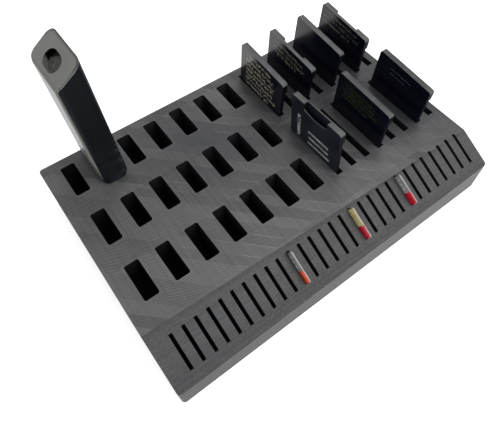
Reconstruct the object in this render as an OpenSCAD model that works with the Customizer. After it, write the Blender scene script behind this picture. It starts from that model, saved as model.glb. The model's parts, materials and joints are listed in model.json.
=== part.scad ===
// Desk rack for memory sticks and memory cards.
// One printed tray holds a field of stick sockets at the left, two rows of card
// slots at the right and a row of small-card slots along its sloped front.
// One stick, six cards, one card adapter and three small cards stand in it.
// Millimetres. Origin: middle of the tray's underside. +X right, +Y back, +Z up.

/* [Tray] */
// Height of the tray at its flat top
body_h = 19.5; // [19:0.1:24]
// Radius of the tray's four upright corners
corner_r = 1.2; // [0.5:0.1:3]
// Space behind the back row of sockets and slots
back_margin = 3.6; // [2.5:0.1:8]
// Space left of the first column of stick sockets
left_margin = 6; // [3:0.1:10]
// Space right of the last card slot
right_margin = 2.9; // [2:0.1:8]
// Space between the stick sockets and the card slots
bank_gap = 5.6; // [3:0.1:12]
// Flat space in front of the sockets, up to the crease of the slope
front_land = 10.25; // [9:0.05:16]
// How far the slope reaches forward, measured flat
slope_run = 15.45; // [15:0.05:20]
// How far the slope drops over that reach
slope_drop = 7.6; // [6:0.1:8.4]
// How much the crease turns away from the front edge, in degrees
slope_turn = -1.95; // [-2.5:0.05:0]

/* [Stick sockets] */
// Columns of sockets
stick_columns = 7; // [3:1:9]
// Rows of sockets
stick_rows = 3; // [3:1:4]
// Distance from one column to the next
stick_pitch = 10.55; // [9.6:0.05:14]
// Solid wall between two rows
stick_row_gap = 8.95; // [7:0.05:12]
// Depth of a socket
stick_depth = 14.6; // [12.8:0.1:15.5]
// Side room between plug and socket, both sides together
stick_side_gap = 0.5; // [0.4:0.05:1]
// End room between plug and socket, both ends together
stick_end_gap = 1.3; // [1.1:0.05:2]

/* [Card slots] */
// Columns of card slots
card_columns = 8; // [7:1:10]
// Distance from one card slot to the next
card_pitch = 6.34; // [5.5:0.02:9]
// Depth of a card slot
card_depth = 15.7; // [14.5:0.1:16.5]
// Side room between card and slot, both sides together
card_side_gap = 0.4; // [0.4:0.05:0.8]
// End room between card and slot, both ends together
card_end_gap = 1.8; // [1.4:0.05:2.2]

/* [Small-card slots] */
// Distance from one small slot to the next
micro_pitch = 4.2; // [3:0.05:6]
// Space left of the first small slot's centre line
micro_margin = 6.9; // [4:0.1:10]
// Least space right of the last small slot's centre line
micro_end = 4.5; // [4:0.1:8]
// Distance from the crease down to the middle of the small slots, measured flat
micro_down = 6.6; // [6.2:0.05:8]
// Depth of a small slot, square to the slope
micro_depth = 12.3; // [11.5:0.1:12.6]
// Side room between small card and slot, both sides together
micro_side_gap = 0.5; // [0.3:0.05:0.8]
// End room between small card and slot, both ends together
micro_end_gap = 0.8; // [0.6:0.05:1.4]

/* [Memory stick] */
// Thickness of the stick's body, across the sockets
stick_w = 9.3; // [8.6:0.1:10]
// Width of the stick's body, along the sockets
stick_d = 18.7; // [17:0.1:22]
// Height of the slanted end at its low side
stick_low = 42.5; // [40:0.1:52]
// Height of the slanted end at its high side
stick_high = 48.1; // [46:0.1:58]
// Thickness of the pale face plate
plate_t = 0.6; // [0.4:0.1:0.8]
// Radius of the body's upright edges
stick_edge_r = 2.7; // [1.2:0.1:3]
// Radius of the body's two foot corners, seen from the front
stick_foot_r = 2; // [0.5:0.1:2.5]
// Radius of the fold between the face plate's side and its slanted end
stick_fold_r = 2.5; // [1:0.1:3]
// Wall of the stick's housing
stick_wall = 1.3; // [1:0.1:1.6]
// Length of the lanyard recess in the slanted end
recess_l = 8.2; // [7:0.1:11]
// Width of the lanyard recess
recess_w = 5.7; // [4:0.1:6.4]
// Depth of the lanyard recess
recess_depth = 1.9; // [1.4:0.1:2.6]
// How far the recess sits towards the low side of the slanted end
recess_shift = 0.8; // [0:0.1:1]
// How far the stick tips backwards, in degrees
stick_tip = 1.9; // [0:0.1:2.5]
// How far the stick leans to the left, in degrees
stick_lean = 1.4; // [0:0.1:1.5]
// How far the plug sits left of the body's middle
plug_offset = 0.9; // [0:0.1:1]

/* [Plug and electronics] */
// Width of the plug's metal shell
plug_w = 12; // [11.9:0.05:12.1]
// Thickness of the plug's metal shell
plug_t = 4.5; // [4.4:0.05:4.6]
// Length of the plug below the stick's body
plug_l = 12; // [11.5:0.1:12.4]
// How far the plug's shell reaches up into the body
plug_in = 5; // [4:0.1:6]
// Wall of the plug's metal shell
plug_wall = 0.3; // [0.2:0.05:0.35]
// Width of the plug's catch windows
catch_w = 2.3; // [2:0.1:2.5]
// Height of the plug's catch windows
catch_h = 2; // [1.6:0.1:2.4]
// Width of the plug's contact strips
strip_w = 1; // [0.8:0.1:1.2]
// Thickness of the plug's contact strips
strip_t = 0.15; // [0.1:0.05:0.2]
// Thickness of the circuit board in the stick
board_t = 0.8; // [0.6:0.1:1]
// Width of the memory chip
memory_chip_w = 12; // [10:0.5:14]
// Height of the memory chip
memory_chip_h = 16; // [12:0.5:18]
// Side of the square controller chip
controller_chip_w = 7; // [5:0.5:9]
// Thickness of both chips
chip_t = 1; // [0.7:0.1:1.1]

/* [Cards] */
// Width of a card
card_w = 24; // [23.9:0.05:24.1]
// Height of a card
card_h = 32; // [31.9:0.05:32.1]
// Thickness of a card
card_t = 2.1; // [2:0.05:2.2]
// Thickness of a card's two side rails
rail_t = 1.4; // [1.3:0.05:1.5]
// Width of a card's two side rails
rail_w = 1; // [0.8:0.1:1.2]
// Height of a card's full-thickness end, which is held between finger and thumb
thick_end = 4.5; // [3.5:0.1:6]
// Wall round the space inside a card
card_wall = 1.3; // [1.1:0.1:1.6]
// Cut corner of a card
card_bevel = 4; // [3.5:0.1:4.5]
// Radius of a card's other corners
card_corner_r = 1; // [0.5:0.1:1.2]
// Contact pads on a card
pad_count = 8; // [7:1:9]
// Length of a card's contact pads
pad_l = 3.4; // [3:0.1:4]
// How far the lock tab slides
lock_travel = 2.2; // [1.8:0.1:2.4]
// Length of the lock tab's nose
lock_nose = 3.2; // [2.6:0.1:3.4]
// Depth of the notch that the lock tab slides in
lock_in = 1.1; // [1:0.1:1.2]
// Depth of the groove that keeps the lock tab in its notch
groove_in = 1; // [0.8:0.1:1.2]
// Depth of the finger notch in a card's top edge
notch_depth = 1.2; // [0.8:0.1:1.25]
// Width of the finger notch in a card's top edge
notch_w = 11.2; // [8:0.1:14]
// Thickness of a label
label_t = 0.1; // [0.05:0.05:0.15]

/* [Adapter] */
// Depth of the bay that takes a small card, from the top edge
bay_depth = 18; // [16:0.5:19]
// Thickness of the bay
bay_t = 1.1; // [1.05:0.05:1.2]
// Depth of the finger scoop at its lowest point
scoop_depth = 3.7; // [3:0.1:5]
// How far the scoop's lower rim curves
scoop_sag = 1; // [0.6:0.1:2]

/* [Small cards] */
// Width of a small card
micro_w = 11; // [10.9:0.05:11.1]
// Height of a small card
micro_h = 15; // [14.9:0.05:15.1]
// Thickness of a small card
micro_t = 0.7; // [0.65:0.05:0.75]
// Thickness of a small card at its finger ridge
micro_ridge_t = 1; // [0.9:0.05:1.1]
// Height of the finger ridge
micro_ridge_h = 1.6; // [1.2:0.1:2]
// Contact pads on a small card
micro_pad_count = 8; // [7:1:8]

/* [Hidden] */
$fn = 32;
eps = 0.01;
// Gap under a piece that stands on a floor
seat_gap = 0.1;
// Least room kept beside a leaning piece
lean_room = 0.1;
// Room round a piece that slides or is fitted in another
fit_gap = 0.1;
// How far a cutting shape runs past the surface that it cuts
cut_past = 1;

// Sizes of the three kinds of pocket
socket_w = plug_t + stick_side_gap;
socket_l = plug_w + stick_end_gap;
slot_w = card_t + card_side_gap;
slot_l = card_w + card_end_gap;
micro_slot_w = micro_t + micro_side_gap;
micro_slot_l = micro_w + micro_end_gap;

// The two banks are equally deep, and they set the tray's outer size
bank_d = stick_rows * socket_l + (stick_rows - 1) * stick_row_gap;
stick_bank_w = (stick_columns - 1) * stick_pitch + socket_w;
card_bank_w = (card_columns - 1) * card_pitch + slot_w;
body_w = left_margin + stick_bank_w + bank_gap + card_bank_w + right_margin;
body_d = back_margin + bank_d + front_land + slope_run;
bank_back = body_d / 2 - back_margin;
crease_y = -body_d / 2 + slope_run;
slope_angle = atan(slope_drop / slope_run);

// Centres of the pockets
function socket_x(column) = -body_w / 2 + left_margin + socket_w / 2 + column * stick_pitch;
function socket_y(row) = bank_back - socket_l / 2 - row * (socket_l + stick_row_gap);
function slot_x(column) = body_w / 2 - right_margin - slot_w / 2 - (card_columns - 1 - column) * card_pitch;
function slot_y(row) = bank_back - slot_l / 2 - row * (bank_d - slot_l);
function micro_x(column) = -body_w / 2 + micro_margin + column * micro_pitch;
micro_columns = floor((body_w - micro_margin - micro_end) / micro_pitch) + 1;
micro_y = crease_y - micro_down;
// Height of the sloped face above the tray's underside
function slope_z(x, y) = body_h - (crease_y + x * tan(slope_turn) - y) * tan(slope_angle);

// The stick: its slanted end rises from left to right
stick_column = 1;
slant = atan((stick_high - stick_low) / stick_w);
stick_x = socket_x(stick_column) + plug_offset - plug_l * sin(stick_lean) / 2;
stick_y = socket_y(0) + plug_l * sin(stick_tip) / 2;
stick_z = body_h + stick_d / 2 * sin(stick_tip) + stick_w / 2 * sin(stick_lean) + seat_gap / 2;
// The space inside the housing, under a solid end for the recess, and the board that stands in it
recess_block = 5.5;
cavity_low = stick_foot_r + 1.2;
cavity_high = stick_low - recess_block;
cavity_wall = stick_wall + 0.4;
board_x = -plug_offset + fit_gap / 2;
board_low = plug_in + 0.5;
board_high = cavity_high - 1;
chip_edge = 2.5;
// The catch windows' height above the plug's open end, and the tongue's and strips' ends
catch_up = 5.2;
tongue_back = 0.4;
strip_back = 0.8;

// Cards: row, column, share of the greatest tilt, share of the greatest lean, lift, finger notch
CARDS = [
    [0, 0, 0.70, 0.15, 0, false],
    [0, 2, 0.80, -0.40, 0, true],
    [0, 4, 0.75, 0.70, 0, false],
    [0, 6, 0.77, 0.10, 0, true],
    [1, 3, 0.52, -0.40, 0.3, false],
    [1, 6, 0.69, -0.80, 0, false],
    [1, 0, -0.42, -0.90, 1.2, false]
];
ADAPTER = 6;
// A tilted card's middle stands a little above the slot's floor
tilt_rise = 0.6;
card_in = card_depth - tilt_rise;
tilt_limit = asin((card_end_gap - 2 * lean_room) / card_in);
lean_limit = asin((card_side_gap - lean_room) / card_in);
function tilt_of(i) = CARDS[i][2] * tilt_limit;
function lean_of(i) = CARDS[i][3] * lean_limit;
// Where the lowest corner lies, from the card's middle: the cut corner is at the front
function low_corner(i) = tilt_of(i) > 0 ? card_w / 2 - card_bevel : card_w / 2;
function depth_of(i) =
    (card_depth - seat_gap - low_corner(i) * abs(sin(tilt_of(i)))) / cos(tilt_of(i)) - CARDS[i][4];
// Layers of a card, from its contact face at -card_t / 2 to its label face at card_t / 2
part_x = -0.05;
rail_x = rail_t - card_t / 2;
pcb_x = [-0.3, 0.2];
pocket_x = [-0.4, 0.3];
pad_t = 0.05;
// The space inside a card, from side to side, clear of the lock tab's groove
pocket_left = -card_w / 2 + card_wall;
pocket_right = card_w / 2 - lock_in - groove_in - card_wall + fit_gap;
// Contact pads, shared out over that space, and the windows that show them
pad_pitch = (pocket_right - pocket_left) / (pad_count + 1);
pad_first = pocket_left + 1.6 * pad_pitch;
pad_w = 0.56 * pad_pitch;
window_z = 1.6;
window_gap = 0.2;
// The lock tab's lower stop, its notch, and how far the foot in the groove reaches past the nose
lock_z = 8.6;
lock_cut = lock_nose + lock_travel + 2 * fit_gap;
foot_more = 0.6;
foot_x = [part_x - 0.4, part_x + 0.2];
nose_inset = 0.15;
// The label and its recess
label_side = 2.5;
label_w = card_w - 2 * label_side;
label_z = 7;
label_h = card_h - thick_end - 1 - label_z;
label_x = card_t / 2 - label_t - 0.02;
notch_floor = 0.1;
// The adapter's bay for a small card, open at the top, and the leads that run into it
bay_w = micro_w + 0.4;
bay_z = card_h - bay_depth;
lead_t = 0.1;
lead_w = 1;
lead_neck = 0.6;
lead_z = [8, 12];
lead_squeeze = 0.77 * bay_w / ((pad_count - 1) * pad_pitch);
spring_l = 2.5;

// Small cards: the columns that hold one, given as shares of the row
micro_at = [for (share = [0.36, 0.57, 0.75]) round(share * (micro_columns - 1))];
// Their outline: chamfered foot, step in the side, small notch above it, cut top corners
micro_chamfer = 0.6;
micro_step = 1.4;
micro_step_z = 6;
micro_notch = [0.7, 1.3];
micro_notch_z = 8.2;
micro_corner = 0.4;
micro_pad_pitch = micro_w / (micro_pad_count + 2.2);
micro_pad_first = -micro_w / 2 + 0.65 * micro_pad_pitch;
micro_pad_w = 0.74 * micro_pad_pitch;
micro_pad_z = 0.9;
micro_pad_l = 2.8;

// Helpers

// Rectangle with rounded corners, from its lower left corner
module rounded(w, h, r) {
    translate([r, 0]) square([w - 2 * r, h]);
    translate([0, r]) square([w, h - 2 * r]);
    for (x = [r, w - r], y = [r, h - r])
        translate([x, y]) circle(r);
}

// Flat shape drawn in Y and Z, between two places along X
module across(x) {
    translate([x[0], 0, 0]) rotate([90, 0, 90]) linear_extrude(x[1] - x[0]) children();
}

// Box between two corners
module span(low, high) {
    translate(low) cube(high - low);
}

// Tray

module socket_cuts() {
    for (row = [0:stick_rows - 1], column = [0:stick_columns - 1])
        translate([socket_x(column) - socket_w / 2, socket_y(row) - socket_l / 2, body_h - stick_depth])
            cube([socket_w, socket_l, stick_depth + cut_past]);
}

module slot_cuts() {
    for (row = [0:1], column = [0:card_columns - 1])
        translate([slot_x(column) - slot_w / 2, slot_y(row) - slot_l / 2, body_h - card_depth])
            cube([slot_w, slot_l, card_depth + cut_past]);
}

// Frame of a small slot: middle of its mouth, +Z square to the slope
module on_slope(column) {
    translate([micro_x(column), micro_y, slope_z(micro_x(column), micro_y)])
        rotate([slope_angle, 0, 0])
            children();
}

module micro_cuts() {
    above = micro_slot_l * tan(slope_angle);
    for (column = [0:micro_columns - 1])
        on_slope(column)
            translate([-micro_slot_w / 2, -micro_slot_l / 2, -micro_depth])
                cube([micro_slot_w, micro_slot_l, micro_depth + above]);
}

module slope_cut() {
    reach = body_w + body_d;
    translate([0, crease_y, body_h])
        rotate([0, 0, slope_turn])
            rotate([slope_angle, 0, 0])
                translate([-reach, -reach, 0])
                    cube([2 * reach, reach, body_h]);
}

module tray() {
    color([0.25, 0.26, 0.27])
        difference() {
            translate([-body_w / 2, -body_d / 2, 0])
                linear_extrude(body_h) rounded(body_w, body_d, corner_r);
            slope_cut();
            socket_cuts();
            slot_cuts();
            micro_cuts();
        }
}

// Memory stick, drawn with its foot at z = 0 and its plug below

module in_socket() {
    translate([stick_x, stick_y, stick_z])
        rotate([-stick_tip, 0, 0])
            rotate([0, -stick_lean, 0])
                children();
}

// Stick's profile in X and Z between its left and right sides, drawn smaller by an inset
module stick_profile(inset) {
    left = -stick_w / 2 + inset;
    low = stick_low + inset * tan(slant) - inset / cos(slant);
    fold_r = stick_fold_r - inset;
    // Distance from the fold's sharp corner to where its round begins
    reach = fold_r * tan((90 - slant) / 2);
    difference() {
        polygon([
            [left, 0], [stick_w / 2, 0],
            [stick_w / 2, low + (stick_w - inset) * tan(slant)], [left, low]
        ]);
        for (side = [-1, 1])
            translate([side * (stick_w / 2 - stick_foot_r), stick_foot_r])
                difference() {
                    translate([side > 0 ? 0 : -stick_foot_r - cut_past, -stick_foot_r - cut_past])
                        square(stick_foot_r + cut_past);
                    circle(stick_foot_r);
                }
        difference() {
            polygon([
                [left - cut_past, low - reach], [left + fold_r, low - reach],
                [left + reach * cos(slant), low + reach * sin(slant)],
                [left, low + cut_past], [left - cut_past, low + cut_past]
            ]);
            translate([left + fold_r, low - reach]) circle(fold_r);
        }
    }
}

module stick_outer() {
    intersection() {
        rotate([90, 0, 0])
            linear_extrude(stick_d + 2 * cut_past, center = true) stick_profile(0);
        translate([-stick_w / 2, -stick_d / 2, -cut_past])
            linear_extrude(stick_high + 2 * cut_past) rounded(stick_w, stick_d, stick_edge_r);
    }
}

// What lies under the face plate, which covers the left side and the slanted end
module plate_core() {
    rotate([90, 0, 0])
        linear_extrude(stick_d + 4 * cut_past, center = true) {
            intersection() {
                stick_profile(plate_t);
                translate([-stick_w, stick_foot_r]) square([2 * stick_w, stick_high]);
            }
            translate([-stick_w, -cut_past]) square([2 * stick_w, stick_foot_r + cut_past]);
        }
}

// Oval in the slanted end, from a depth outwards, drawn larger by a wall
module recess_oval(depth, wall) {
    w = recess_w + 2 * wall;
    l = recess_l + 2 * wall;
    translate([0, 0, (stick_low + stick_high) / 2])
        rotate([0, -slant, 0])
            translate([-recess_shift, 0, -depth])
                linear_extrude(depth + 2 * cut_past) {
                    for (side = [-1, 1])
                        translate([0, side * (l - w) / 2]) circle(w / 2);
                    square([w, l - w], center = true);
                }
}

module stick_housing() {
    plug_hole = [plug_t + 2 * fit_gap, plug_w + 2 * fit_gap, plug_in + 2 * cut_past];
    color([0.07, 0.08, 0.1])
        in_socket()
            difference() {
                intersection() {
                    stick_outer();
                    plate_core();
                }
                recess_oval(recess_depth + plate_t, plate_t);
                span([-stick_w / 2 + plate_t - eps, -stick_d / 2 + cavity_wall, cavity_low],
                     [stick_w / 2 - stick_wall, stick_d / 2 - cavity_wall, cavity_high]);
                translate([-plug_offset - plug_hole[0] / 2, -plug_hole[1] / 2, -cut_past])
                    cube(plug_hole);
            }
}

// Thin drawn plate with a cup for the lanyard recess
module stick_face_plate() {
    color([0.5, 0.5, 0.49])
        in_socket()
            difference() {
                intersection() {
                    stick_outer();
                    union() {
                        difference() {
                            stick_outer();
                            plate_core();
                        }
                        recess_oval(recess_depth + plate_t, plate_t);
                    }
                }
                recess_oval(recess_depth, 0);
            }
}

module in_plug() {
    in_socket() translate([-plug_offset, 0, 0]) children();
}

module stick_plug_shell() {
    half = [plug_t / 2 - plug_wall, plug_w / 2 - plug_wall];
    color([0.75, 0.75, 0.76])
        in_plug()
            difference() {
                span([-plug_t / 2, -plug_w / 2, -plug_l], [plug_t / 2, plug_w / 2, plug_in]);
                span([-half[0], -half[1], -plug_l - cut_past], [half[0], half[1], plug_in + cut_past]);
                for (side = [-1, 1])
                    translate([-plug_t, side * plug_w / 5 - catch_w / 2, -plug_l + catch_up])
                        cube([2 * plug_t, catch_w, catch_h]);
            }
}

// Insulator on one side of the plug, under the contact strips
module stick_plug_tongue() {
    half = plug_w / 2 - plug_wall - fit_gap;
    color([0.08, 0.08, 0.08])
        in_plug()
            span([-plug_t / 2 + plug_wall + fit_gap / 2, -half, -plug_l + tongue_back],
                 [fit_gap / 2 - strip_t, half, plug_in - tongue_back]);
}

module stick_plug_contacts() {
    color([0.85, 0.7, 0.35])
        in_plug()
            for (side = [-1, 1], share = [1 / 12, 7 / 24])
                translate([fit_gap / 2 - strip_t, side * share * plug_w - strip_w / 2, -plug_l + strip_back])
                    cube([strip_t, strip_w, plug_l + plug_in - 2 * strip_back]);
}

// Board with a narrow end that reaches down into the plug's shell
module stick_circuit_board() {
    narrow = plug_w - 2 * plug_wall - 4 * fit_gap;
    wide = stick_d - 2 * cavity_wall - 12 * fit_gap;
    color([0.1, 0.35, 0.18])
        in_socket()
            across([board_x, board_x + board_t]) {
                translate([-narrow / 2, 1]) square([narrow, plug_in]);
                translate([-wide / 2, board_low]) square([wide, board_high - board_low]);
            }
}

module stick_memory_chip() {
    color([0.1, 0.1, 0.1])
        in_socket()
            translate([board_x + board_t, -memory_chip_w / 2, board_high - chip_edge - memory_chip_h])
                cube([chip_t, memory_chip_w, memory_chip_h]);
}

module stick_controller_chip() {
    color([0.12, 0.12, 0.12])
        in_socket()
            translate([board_x - chip_t, -controller_chip_w / 2, board_low + chip_edge])
                cube([chip_t, controller_chip_w, controller_chip_w]);
}

// Cards, drawn with the contact end at z = 0 and the label face towards +X

module in_slot(i) {
    depth = depth_of(i);
    translate([
        slot_x(CARDS[i][1]) + depth * sin(lean_of(i)) / 2,
        slot_y(CARDS[i][0]) - depth * sin(tilt_of(i)) / 2,
        body_h
    ])
        rotate([tilt_of(i), 0, 0])
            rotate([0, lean_of(i), 0])
                translate([0, 0, -depth])
                    children();
}

// Card outline in Y and Z, drawn smaller by an inset
module card_outline(inset) {
    r = max(card_corner_r - inset, card_corner_r / 4);
    w = card_w - 2 * inset;
    cut = card_bevel - inset * (2 - sqrt(2));
    difference() {
        translate([-w / 2, inset]) rounded(w, card_h - 2 * inset, r);
        translate([-w / 2, inset])
            polygon([[-cut_past, -cut_past], [cut + cut_past, -cut_past], [-cut_past, cut + cut_past]]);
    }
}

// Space inside a card, drawn smaller by a gap
module card_pocket(gap, x) {
    across(x)
        difference() {
            card_outline(card_wall + gap);
            translate([pocket_right - gap, 0]) square([card_w, card_h]);
        }
}

// Notch in the card's side and the groove behind it
module lock_space() {
    notch_y = card_w / 2 - lock_in;
    span([-card_t, notch_y, lock_z], [card_t, card_w / 2 + cut_past, lock_z + lock_cut]);
    span([foot_x[0] - fit_gap, notch_y - groove_in, lock_z - foot_more - fit_gap],
         [foot_x[1] + fit_gap, notch_y + eps, lock_z + lock_cut + foot_more + fit_gap]);
}

// A box at each contact pad's place, between two depths of the card and drawn larger by a margin
module at_pads(x, margin) {
    for (k = [0:pad_count - 1])
        translate([x[0], pad_first + k * pad_pitch - pad_w / 2 - margin[0], window_z + window_gap - margin[1]])
            cube([x[1] - x[0], pad_w + 2 * margin[0], pad_l + 2 * margin[1]]);
}

module contact_windows() {
    at_pads([-card_t, pocket_x[0] + eps], [window_gap / 2, window_gap]);
}

module card_back() {
    difference() {
        across([-card_t / 2, part_x]) card_outline(0);
        card_pocket(0, pocket_x);
        contact_windows();
        lock_space();
    }
}

// Front half: thin rails at both sides, full thickness at the held end
module card_front_solid() {
    across([part_x, rail_x]) card_outline(0);
    across([rail_x, card_t / 2])
        intersection() {
            card_outline(0);
            union() {
                translate([-card_w / 2 + rail_w, 0]) square([card_w - 2 * rail_w, card_h]);
                translate([-card_w / 2, card_h - thick_end]) square([card_w, thick_end]);
            }
        }
}

module card_front(notched) {
    difference() {
        card_front_solid();
        card_pocket(0, pocket_x);
        lock_space();
        span([label_x, -label_w / 2 - fit_gap, label_z - fit_gap],
             [card_t, label_w / 2 + fit_gap, label_z + label_h + fit_gap]);
        if (notched)
            span([notch_floor, -notch_w / 2, card_h - notch_depth], [card_t, notch_w / 2, card_h + cut_past]);
    }
}

module lock_tab() {
    z = lock_z + fit_gap;
    notch_y = card_w / 2 - lock_in;
    span([-card_t / 2 + fit_gap, notch_y, z], [rail_x - fit_gap, card_w / 2 - nose_inset, z + lock_nose]);
    span([foot_x[0], notch_y - groove_in + fit_gap, z - foot_more],
         [foot_x[1], notch_y, z + lock_nose + foot_more]);
}

module card_back_shell(i) {
    color([0.06, 0.06, 0.08]) in_slot(i) card_back();
}

module card_front_shell(i) {
    color([0.09, 0.09, 0.11]) in_slot(i) card_front(CARDS[i][5]);
}

module card_circuit_board(i) {
    color([0.1, 0.3, 0.18]) in_slot(i) card_pocket(2 * fit_gap, pcb_x);
}

module card_contacts(i) {
    color([0.85, 0.7, 0.35]) in_slot(i) at_pads([pcb_x[0] - pad_t, pcb_x[0]], [0, 0]);
}

module card_lock_tab(i) {
    color([0.3, 0.3, 0.32]) in_slot(i) lock_tab();
}

module card_label(i) {
    color([0.2, 0.21, 0.24])
        in_slot(i)
            span([label_x, -label_w / 2, label_z], [label_x + label_t, label_w / 2, label_z + label_h]);
}

// Adapter: a card's outline with a bay for a small card, open at its top end

module bay_space() {
    span([-bay_t / 2, -bay_w / 2, bay_z], [bay_t / 2, bay_w / 2, card_h + cut_past]);
}

// Curved finger scoop through the adapter's contact face
module scoop_cut() {
    radius = (pow(bay_w / 2, 2) + pow(scoop_sag, 2)) / (2 * scoop_sag);
    intersection() {
        span([-card_t, -bay_w / 2, bay_z], [0, bay_w / 2, card_h + cut_past]);
        translate([-card_t, 0, card_h - scoop_depth + radius])
            rotate([0, 90, 0]) cylinder(h = card_t, r = radius, $fn = 96);
    }
}

module adapter_back_shell() {
    color([0.09, 0.1, 0.12])
        in_slot(ADAPTER)
            difference() {
                across([-card_t / 2, part_x]) card_outline(0);
                bay_space();
                scoop_cut();
                span([pocket_x[0], pad_first - pad_w, window_z],
                     [part_x + eps, pad_first + (pad_count - 1) * pad_pitch + pad_w, bay_z + eps]);
                contact_windows();
                lock_space();
            }
}

module adapter_front_shell() {
    color([0.1, 0.11, 0.13])
        in_slot(ADAPTER)
            difference() {
                card_front_solid();
                bay_space();
                lock_space();
            }
}

// Leads from the outer pads to the springs in the bay
module adapter_contacts() {
    color([0.85, 0.7, 0.35])
        in_slot(ADAPTER)
            for (k = [0:pad_count - 1]) {
                x = [part_x - lead_t, part_x];
                y = pad_first + k * pad_pitch;
                inner_y = y * lead_squeeze;
                neck = lead_neck / 2;
                span([x[0], y - lead_w / 2, window_z + window_gap], [x[1], y + lead_w / 2, lead_z[0]]);
                across(x)
                    polygon([
                        [y - neck, lead_z[0] - lead_t], [y + neck, lead_z[0] - lead_t],
                        [inner_y + neck, lead_z[1] + lead_t], [inner_y - neck, lead_z[1] + lead_t]
                    ]);
                span([x[0], inner_y - neck, lead_z[1]], [x[1], inner_y + neck, bay_z + spring_l]);
            }
}

module adapter_lock_tab() {
    color([0.3, 0.3, 0.32]) in_slot(ADAPTER) lock_tab();
}

// Small cards, drawn with the contact end at z = 0 and the label face towards -X

module in_micro_slot(i) {
    on_slope(micro_at[i]) translate([0, 0, -micro_depth + seat_gap]) children();
}

module micro_outline() {
    w = micro_w / 2;
    difference() {
        polygon([
            [-w, micro_chamfer], [-w + micro_chamfer, 0],
            [w - micro_step - micro_chamfer, 0], [w - micro_step, micro_chamfer],
            [w - micro_step, micro_step_z], [w, micro_step_z + micro_step],
            [w, micro_h - micro_corner], [w - micro_corner, micro_h],
            [-w + micro_corner, micro_h], [-w, micro_h - micro_corner]
        ]);
        translate([w - micro_notch[0], micro_notch_z]) square(micro_notch + [cut_past, 0]);
    }
}

module micro_pads() {
    for (k = [0:micro_pad_count - 1])
        translate([micro_t / 2 - pad_t, micro_pad_first + k * micro_pad_pitch, micro_pad_z])
            cube([pad_t, micro_pad_w, micro_pad_l]);
}

module micro_body(i) {
    color([0.1, 0.1, 0.11])
        in_micro_slot(i)
            difference() {
                union() {
                    across([-micro_t / 2, micro_t / 2]) micro_outline();
                    across([micro_t / 2 - micro_ridge_t, -micro_t / 2 + eps])
                        intersection() {
                            micro_outline();
                            translate([-micro_w / 2, micro_h - micro_ridge_h]) square([micro_w, micro_ridge_h]);
                        }
                }
                translate([eps, 0, 0]) micro_pads();
                micro_pads();
            }
}

module micro_contacts(i) {
    color([0.85, 0.7, 0.35]) in_micro_slot(i) micro_pads();
}

tray();
stick_housing();
stick_face_plate();
stick_plug_shell();
stick_plug_tongue();
stick_plug_contacts();
stick_circuit_board();
stick_memory_chip();
stick_controller_chip();
card_back_shell(0);  // card_a_back_shell
card_front_shell(0);  // card_a_front_shell
card_circuit_board(0);  // card_a_circuit_board
card_contacts(0);  // card_a_contacts
card_lock_tab(0);  // card_a_lock_tab
card_label(0);  // card_a_label
card_back_shell(1);  // card_b_back_shell
card_front_shell(1);  // card_b_front_shell
card_circuit_board(1);  // card_b_circuit_board
card_contacts(1);  // card_b_contacts
card_lock_tab(1);  // card_b_lock_tab
card_label(1);  // card_b_label
card_back_shell(2);  // card_c_back_shell
card_front_shell(2);  // card_c_front_shell
card_circuit_board(2);  // card_c_circuit_board
card_contacts(2);  // card_c_contacts
card_lock_tab(2);  // card_c_lock_tab
card_label(2);  // card_c_label
card_back_shell(3);  // card_d_back_shell
card_front_shell(3);  // card_d_front_shell
card_circuit_board(3);  // card_d_circuit_board
card_contacts(3);  // card_d_contacts
card_lock_tab(3);  // card_d_lock_tab
card_label(3);  // card_d_label
card_back_shell(4);  // card_e_back_shell
card_front_shell(4);  // card_e_front_shell
card_circuit_board(4);  // card_e_circuit_board
card_contacts(4);  // card_e_contacts
card_lock_tab(4);  // card_e_lock_tab
card_label(4);  // card_e_label
card_back_shell(5);  // card_f_back_shell
card_front_shell(5);  // card_f_front_shell
card_circuit_board(5);  // card_f_circuit_board
card_contacts(5);  // card_f_contacts
card_lock_tab(5);  // card_f_lock_tab
card_label(5);  // card_f_label
adapter_back_shell();
adapter_front_shell();
adapter_contacts();
adapter_lock_tab();
micro_body(0);  // micro_a_body
micro_contacts(0);  // micro_a_contacts
micro_body(1);  // micro_b_body
micro_contacts(1);  // micro_b_contacts
micro_body(2);  // micro_c_body
micro_contacts(2);  // micro_c_contacts
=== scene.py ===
# %% [markdown]
# # A desk rack full of memory cards
# This lesson dresses a desk rack: one printed tray with sockets for memory sticks, slots for memory
# cards and small slots along a sloped front, and the things that stand in it. The solids come from
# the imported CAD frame, in metres, and never move. Each solid that shows gets a finer copy of itself,
# with softened edges and a finish of its own, and the hidden ones keep their shape.

import json
import math

import bmesh
import bpy
from mathutils import Matrix, Vector


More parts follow.
